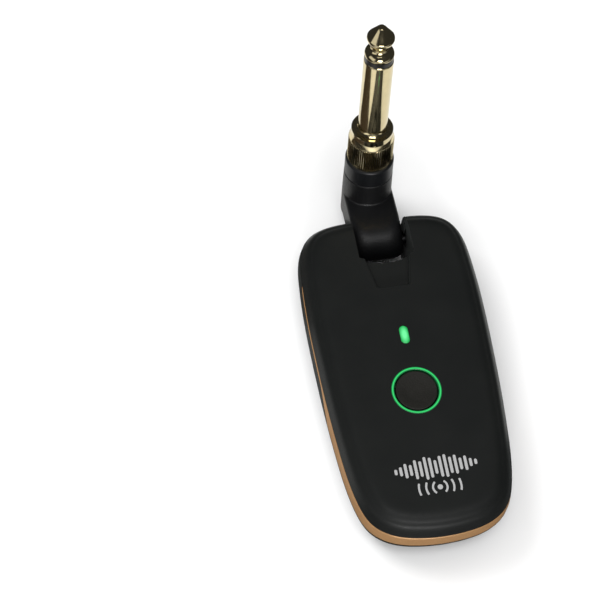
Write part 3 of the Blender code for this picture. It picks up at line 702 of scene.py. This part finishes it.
def face_controls(ring_mat, lens_mat, cap_mat):
    top = THICKNESS - 0.03
    section = rounded([(RING_INNER, 11.6), (RING_INNER, top), (RING_OUTER, top), (RING_OUTER, 11.6)], 0.12)
    ring = make_object("glowing_ring", turned(section, 192, (0.0, BUTTON_Y), ring=True))
    finish_piece(ring, ring_mat, "body", ["light_ring"])
    lens = make_object("status_window", domed_pill(LED_WIDTH, LED_LENGTH, 12.0, top, 0.2, (0.0, LED_Y)))
    finish_piece(lens, lens_mat, "body", ["led_lens"])
    section = rounded([(1.2, 11.75), (1.2, 12.9), (3.9, 12.9), (BUTTON_RADIUS, 13.1),
                       (BUTTON_RADIUS, 14.95), (BUTTON_RADIUS - 0.5, 14.9), (2.2, 14.72), (0.02, 14.66)],
                      0.3)
    cap = make_object("push_button", turned(section, 128, (0.0, BUTTON_Y)))
    finish_piece(cap, cap_mat, "button", ["button_cap"])


def face_print(mat):
    """A generic print: a row of sound bars over a dot with radio waves on both sides."""
    bars = bmesh.new()
    for i, height in enumerate(BAR_HEIGHTS):
        x = BARS_AT[0] + (i - (len(BAR_HEIGHTS) - 1) / 2) * BAR_PITCH
        add_plate(bars, [(px, py) for px, py, _ in pill(BAR_WIDTH, height, 0.0, (x, BARS_AT[1]), 8)])
    finish_piece(make_object("print_bars", bars), mat, "body")
    waves = bmesh.new()
    add_plate(waves, [(x, y) for x, y, _ in circle(0.55, 0.0, 24, WAVES_AT)])
    for radius, half_angle in WAVES:
        for side in (0.0, 180.0):
            add_plate(waves, arc_strip(radius, WAVE_WIDTH, side, half_angle))
    finish_piece(make_object("print_waves", waves), mat, "body")


def arc_strip(radius, width, facing, half_angle):
    """A bent strip of even width round WAVES_AT, seen from above."""
    angles = [math.radians(facing - half_angle + 2 * half_angle * i / 16) for i in range(17)]
    edges = [(radius + width / 2, angles), (radius - width / 2, angles[::-1])]
    return [(WAVES_AT[0] + r * math.cos(a), WAVES_AT[1] + r * math.sin(a)) for r, row in edges for a in row]


def add_plate(bm, loop):
    """Add a thin raised plate of ink with this outline."""
    low = [bm.verts.new((x, y, THICKNESS - 0.01)) for x, y in loop]
    high = [bm.verts.new((x, y, PRINT_TOP)) for x, y in loop]
    for i in range(len(loop)):
        j = (i + 1) % len(loop)
        bm.faces.new((low[i], low[j], high[j], high[i]))
    bm.faces.new(low[::-1])
    bm.faces.new(high)


# ---------------------------------------------------------------- arm and plug

ARM_FRAME = (Matrix.Translation((0.0, HINGE_Y * MM, HINGE_Z * MM))
             @ Matrix.Rotation(math.radians(REST_TILT), 4, "X"))
PLUG_FRAME = ARM_FRAME @ Matrix.Translation((0.0, PLUG_AXIS * MM, 0.0))


def slab_outline():
    """Side outline of the slab: the rounded knuckle on the pin, then the slab out to the plug's axis."""
    arc = []
    for i in range(61):
        turn = math.pi / 2 + math.pi * i / 60
        reach = SLAB_FRONT if math.sin(turn) > 0 else KNUCKLE_BACK
        arc.append((KNUCKLE_CENTRE + KNUCKLE_REACH * math.cos(turn), reach * math.sin(turn)))
    slab = [(2.3, -2.65), (3.4, SLAB_BACK), (8.0, SLAB_BACK), (PLUG_AXIS + 3.0, SLAB_BACK),
            (PLUG_AXIS + 3.0, SLAB_FRONT), (8.0, SLAB_FRONT), (4.0, SLAB_FRONT), (2.4, SLAB_FRONT)]
    return arc + slab


def slab_rims(outline):
    """Reach of the slab's rims, across and inwards: wide round the knuckle, small along the slab."""
    along, height = np.array(outline).T
    knuckle = np.interp(height, [-3.0, -1.0], [0.0, 1.0]) * np.interp(along, [-2.0, 4.5], [1.0, 0.0])
    return 0.8 + 2.8 * knuckle, 0.8 + 1.1 * knuckle


def arm_shell(mat):
    """Elbow: slab with knuckle and a round sleeve, softened into one moulding."""
    centre = (0.0, PLUG_AXIS)
    outline = slab_outline()
    arm = make_object("elbow_arm", prism_x(outline, ARM_HALF_WIDTH, slab_rims(outline)), ARM_FRAME)
    sleeve = turned([(ARM_HALF_WIDTH, SLAB_BACK), (ARM_HALF_WIDTH, SLAB_FRONT),
                     (SLEEVE_RADIUS, SEAM - 0.02)], 128, centre)
    facet = [(PLUG_AXIS + 1.3, SLAB_BACK - 1.0), (PLUG_AXIS + 1.3, SLAB_BACK), (PLUG_AXIS + 5.6, 2.9),
             (PLUG_AXIS + 9.0, 6.8), (PLUG_AXIS + 9.0, SLAB_BACK - 1.0)]
    carve(arm, ("DIFFERENCE", cuboid((-8.0, PLUG_AXIS, -6.0), (8.0, PLUG_AXIS + 9.0, 9.0))),
          ("UNION", sleeve), ("DIFFERENCE", prism_x(facet, 8.0)),
          ("DIFFERENCE", turned([(ARM_BORE, 1.2), (ARM_BORE, 20.0)], 64, centre)),
          ("DIFFERENCE", cuboid((-1.3, 0.6, -0.2), (1.3, PLUG_AXIS, 3.0))),
          ("DIFFERENCE", turned_x([(1.3, -7.0), (1.3, 7.0)], (0.0, 0.0))))
    remesh = arm.modifiers.new("soften", "REMESH")
    remesh.mode = "VOXEL"
    remesh.voxel_size = 0.13 * MM
    smooth = arm.modifiers.new("smooth", "SMOOTH")
    smooth.factor = 0.5
    smooth.iterations = 5
    apply_modifiers(arm)
    finish_piece(arm, mat, "arm", ["arm_shell"], sharp=180)


def ferrule(mat):
    section = [(ARM_BORE, SEAM + 0.06), (SLEEVE_RADIUS - 0.02, SEAM + 0.06),
               (SLEEVE_RADIUS - 0.05, SLEEVE_END - 0.3), (SLEEVE_RADIUS - 0.35, SLEEVE_END),
               (ARM_BORE, SLEEVE_END)]
    section = rounded(section + section[:1], 0.22)[:-1]
    ring = make_object("ferrule", turned(section, 144, ring=True), PLUG_FRAME)
    finish_piece(ring, mat, "arm", ["sleeve_ferrule"])


def knurled_collar(mat):
    """Plug housing with straight splines, a polished bevel and a flat shoulder."""
    foot = SLEEVE_END + 0.04
    # (radius, height, share of the spline depth)
    rows = [(COLLAR_BORE, foot, 0.0), (COLLAR_RADIUS - 0.2, foot, 1.0), (COLLAR_RADIUS, foot + 0.2, 1.0),
            (COLLAR_RADIUS, foot + 3.4, 1.0), (COLLAR_RADIUS, foot + 6.35, 1.0),
            (COLLAR_RADIUS - 0.16, foot + 6.6, 0.0), (COLLAR_RADIUS - 0.2, foot + 6.7, 0.0),
            (SHOULDER_RADIUS + 0.05, foot + 7.85, 0.0), (SHOULDER_RADIUS, foot + 7.95, 0.0),
            (SHOULDER_RADIUS, SHOULDER - 0.08, 0.0), (SHOULDER_RADIUS - 0.08, SHOULDER, 0.0),
            (COLLAR_BORE, SHOULDER, 0.0)]
    count = SPLINES * 8
    angles = np.arange(count) * 2 * math.pi / count
    groove = SPLINE_DEPTH * (0.5 - 0.5 * np.cos(SPLINES * angles))
    loops = [[((radius - depth * g) * math.cos(a), (radius - depth * g) * math.sin(a), height)
              for a, g in zip(angles, groove)] for radius, height, depth in rows]
    collar = make_object("splined_collar", loft(loops, ring=True), PLUG_FRAME)
    finish_piece(collar, mat, "arm", ["knurled_collar"], sharp=24)


def plug(mat, insulator_mat):
    foot = [(2.2, 8.0), (BARREL_RADIUS, 8.0), (BARREL_RADIUS, SHOULDER + 0.02), (3.62, SHOULDER + 0.03),
            (3.62, SHOULDER + 0.3), (3.3, SHOULDER + 0.55), (3.2, SHOULDER + 0.9)]
    end = [(BARREL_RADIUS, SHOULDER + 1.3), (BARREL_RADIUS, BARREL_END - 0.25),
           (BARREL_RADIUS - 0.12, BARREL_END - 0.03), (2.2, BARREL_END - 0.03)]
    barrel = make_object("barrel", turned(foot + end, 160, ring=True), PLUG_FRAME)
    finish_piece(barrel, mat, "arm", ["plug_barrel"])
    washer = [(1.45, BARREL_END), (3.08, BARREL_END), (3.08, INSULATOR_END), (1.45, INSULATOR_END)]
    ring = make_object("insulating_washer", turned(washer, 96, ring=True), PLUG_FRAME)
    finish_piece(ring, insulator_mat, "arm", ["insulator_ring"])
    # (radius, distance from the point)
    from_point = [(2.95, 8.02), (3.1, 7.85), (3.12, 7.45), (2.95, 7.0), (2.62, 6.58), (2.2, 6.2),
                  (1.97, 5.8), (1.97, 5.35), (2.25, 4.75), (2.62, 4.05), (2.86, 3.5), (2.92, 3.1),
                  (2.84, 2.78)]
    shank = spline(from_point, 60)
    cone = rounded([(2.84, 2.78), (1.05, 0.42), (0.78, 0.1), (0.42, 0.0)], 0.12)
    profile = [(1.1, 4.6), (1.1, INSULATOR_END + 0.03)]
    profile += [(radius, POINT - distance) for radius, distance in list(shank) + cone[1:]]
    tip = make_object("tip", turned(profile, 144), PLUG_FRAME)
    finish_piece(tip, mat, "arm", ["plug_tip"])


# ---------------------------------------------------------------- screws, port and inner parts

def case_screws(mat):
    """Pan-head screws with a cross recess, seen in the wells of the underside."""
    for index, place in enumerate(CASE_SCREWS):
        profile = [(0.9, 0.62), (1.3, 0.7), (1.5, 0.95), (1.55, 1.2), (1.55, 1.75), (0.78, 1.76),
                   (0.78, 8.6), (0.3, 9.2)]
        screw = make_object(f"cross_screw_{index + 1}", turned(profile, 48, place))
        x, y = place
        arms = [cuboid((x - w, y - h, 0.4), (x + w, y + h, 1.35)) for w, h in ((0.95, 0.2), (0.2, 0.95))]
        carve(screw, *[("DIFFERENCE", arm) for arm in arms])
        finish_piece(screw, mat, "body", [f"case_screw_{index + 1}"])


def port_shell(mat):
    """The rounded metal mouth of the charging port."""
    middle = (PORT_LOW + PORT_HIGH) / 2
    height = PORT_HIGH - PORT_LOW

    def section(y, inset):
        return [(PORT_X + x, y, middle + z)
                for z, x, _ in pill(height - 2 * inset, PORT_WIDTH - 2 * inset, 0.0, count=16)]

    inner_back = PORT_BACK_Y + 1.8
    loops = [section(PORT_BACK_Y, 0.0), section(PORT_MOUTH_Y - 0.1, 0.0), section(PORT_MOUTH_Y, 0.08),
             section(PORT_MOUTH_Y, 0.17), section(PORT_MOUTH_Y - 0.1, 0.25), section(inner_back, 0.25)]
    shell = make_object("port_mouth", loft(loops))
    finish_piece(shell, mat, "body", ["usb_shell"])


def dress(frame, mat, *names):
    """Give CAD nodes that stay a better material."""
    for name in names:
        for material_slot in frame["nodes"][name].material_slots:
            material_slot.material = mat


def dress_inside(frame, steel, brass):
    dress(frame, plain_plastic("inner_black", (0.012, 0.012, 0.013)), "tact_switch", "switch_plunger",
          "usb_tongue", "battery_socket", "battery_lead_black", "sleeve_lead", "hinge_bush_left",
          "hinge_bush_right")
    dress(frame, plain_plastic("inner_red", (0.42, 0.015, 0.01)), "battery_lead_red", "tip_lead")
    dress(frame, plain_plastic("inner_white", (0.72, 0.72, 0.69)), "insulator_tube")
    dress(frame, board_green("solder_mask"), "main_board")
    dress(frame, foil("pouch_foil"), "battery_cell")
    dress(frame, foam("closed_foam"), "battery_pad")
    dress(frame, steel, "shield_can", "board_screw_1", "board_screw_2")
    dress(frame, brushed("dark_steel", (0.09, 0.09, 0.095), 0.4), "hinge_pin")
    dress(frame, brass, "tip_lug", "sleeve_lug", "antenna_strip")
    chips = plain_plastic("chip_green", (0.05, 0.55, 0.18))
    dress(frame, chips, "status_led", "ring_led_1", "ring_led_2", "ring_led_3", "ring_led_4")


# ---------------------------------------------------------------- studio

def add_camera():
    azimuth, elevation, roll = (math.radians(a) for a in (CAMERA_AZIMUTH, CAMERA_ELEVATION, CAMERA_ROLL))
    back = Vector((math.sin(azimuth) * math.cos(elevation), -math.cos(azimuth) * math.cos(elevation),
                   math.sin(elevation)))
    level = Vector((math.cos(azimuth), math.sin(azimuth), 0.0))
    upright = back.cross(level)
    right = math.cos(roll) * level + math.sin(roll) * upright
    up = back.cross(right)
    target = Vector((0.0, BUTTON_Y, THICKNESS))
    place = target + CAMERA_DISTANCE * back + CAMERA_SHIFT[0] * right + CAMERA_SHIFT[1] * up
    camera = bpy.data.objects.new("camera", bpy.data.cameras.new("camera"))
    camera.data.lens = CAMERA_LENS
    camera.data.sensor_width = 36.0
    camera.data.clip_start = 0.01
    axes = Matrix((right, up, back)).transposed().to_4x4()
    camera.matrix_world = Matrix.Translation(place * MM) @ axes
    bpy.context.scene.collection.objects.link(camera)
    bpy.context.scene.camera = camera


def add_light(name, place, aim, size, power, glossy=True):
    """A rectangular softbox at place, in metres, turned towards aim."""
    light = bpy.data.lights.new(name, "AREA")
    light.shape = "RECTANGLE"
    light.size, light.size_y = size
    light.energy = power
    lamp = bpy.data.objects.new(name, light)
    lamp.location = place
    lamp.rotation_euler = (Vector(aim) - Vector(place)).to_track_quat("-Z", "Y").to_euler()
    lamp.visible_glossy = glossy
    bpy.context.scene.collection.objects.link(lamp)


def add_sheet(name, low, high, height, mat):
    """A flat rectangular sheet on the table, from (x, y) low to high, in millimetres."""
    corners = [(low[0], low[1], height), (high[0], low[1], height), (high[0], high[1], height),
               (low[0], high[1], height)]
    mesh = bpy.data.meshes.new(name)
    mesh.from_pydata([[c * MM for c in corner] for corner in corners], [], [(0, 1, 2, 3)])
    sheet = bpy.data.objects.new(name, mesh)
    bpy.context.scene.collection.objects.link(sheet)
    mesh.materials.append(mat)
    return sheet


def add_lights():
    """A key light from the left, a wide overhead one, and three softboxes that the plating reflects."""
    centre = (0.0, 0.0, 0.0)
    add_light("key", (-0.5, 0.5, 0.72), centre, (0.5, 0.5), 5.4, glossy=False)
    add_light("overhead", (0.0, 0.1, 1.3), centre, (2.4, 2.4), 19.0, glossy=False)
    add_light("top_box", (-0.05, -0.25, 1.1), centre, (0.5, 0.35), 2.8)
    add_light("side_box", (-0.75, -0.25, 0.32), (0.0, 0.02, 0.04), (0.7, 0.5), 0.8)
    add_light("front_box", (-0.1, -0.9, 0.38), (0.0, 0.0, 0.02), (0.45, 0.2), 6.0)


def add_cards():
    """Pale cards round the body and a dark one left of the arm, which only glossy surfaces see."""
    pale = plain_plastic("pale_card", (0.74, 0.74, 0.72))
    dark = plain_plastic("dark_card", (0.03, 0.02, 0.012))
    cards = [("left_card", (-75.0, -24.0), (-25.0, 110.0), 0.3, pale),
             ("right_card", (22.5, -12.0), (54.0, 110.0), 0.3, pale),
             ("back_card", (-25.0, 44.0), (25.0, 110.0), 0.3, pale),
             ("front_card", (-500.0, -700.0), (500.0, -150.0), 0.3, pale),
             ("brown_card", (-75.0, 21.0), (-22.0, 66.0), 0.5, dark)]
    for card in cards:
        sheet = add_sheet(*card)
        sheet.visible_camera = sheet.visible_diffuse = sheet.visible_shadow = False


def add_studio():
    scene = bpy.context.scene
    scene.view_settings.view_transform = "Standard"
    world = bpy.data.worlds.new("studio")
    world.use_nodes = True
    background = world.node_tree.nodes["Background"]
    background.inputs["Color"].default_value = (0.97, 0.985, 1.0, 1.0)
    background.inputs["Strength"].default_value = 0.035
    scene.world = world
    add_lights()
    paper = Surface("pale_floor", (0.88, 0.88, 0.88), 0.7, specular=0.2)
    paper.roughness(paper.noise(40.0, 2.0), 0.65, 0.8)
    floor = add_sheet("floor", (-3000.0, -3000.0), (3000.0, 3000.0), 0.0, paper.mat)
    floor.visible_glossy = False
    add_cards()


# ---------------------------------------------------------------- the whole

def main():
    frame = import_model()
    steel = brushed("nickel_steel", (0.62, 0.62, 0.6))
    brass = plated("plain_brass", (0.78, 0.58, 0.26), (0.2, 0.32), lines=False)
    gold = plated("pale_gold", (0.8, 0.68, 0.41))
    shell = soft_touch("soft_touch")
    top_cover(shell)
    bottom_cover(shell)
    trim_band(satin_copper("copper_paint"))
    middle = (RING_INNER + RING_OUTER) / 2
    ring_glow = lit_guide("ring_glow", (0.002, 0.1, 0.02), (0.03, 0.72, 0.15), (0.0, BUTTON_Y), middle,
                          (0.02, 0.17))
    lens_glow = lit_guide("window_glow", (0.004, 0.3, 0.05), (0.17, 0.9, 0.34), (0.0, LED_Y), 0.0,
                          (0.3, 0.95), squeeze=0.45)
    cap_mat = moulded("button_grain", (0.0085, 0.0082, 0.0068), grain=0.3, depth=0.05,
                      rough=(0.5, 0.7), specular=0.3)
    face_controls(ring_glow, lens_glow, cap_mat)
    face_print(plain_plastic("print_ink", (0.36, 0.36, 0.36), 0.5))
    arm_shell(moulded("arm_grain", (0.0036, 0.0037, 0.004), depth=0.05, rough=(0.36, 0.48),
                      specular=0.42))
    ferrule(moulded("ferrule_satin", (0.005, 0.0055, 0.0062), grain=0.2, depth=0.008, rough=(0.3, 0.4)))
    knurled_collar(gold)
    plug(gold, plain_plastic("insulator_black", (0.012, 0.011, 0.01), 0.3))
    case_screws(steel)
    port_shell(steel)
    dress_inside(frame, steel, brass)
    add_studio()
    add_camera()


main()
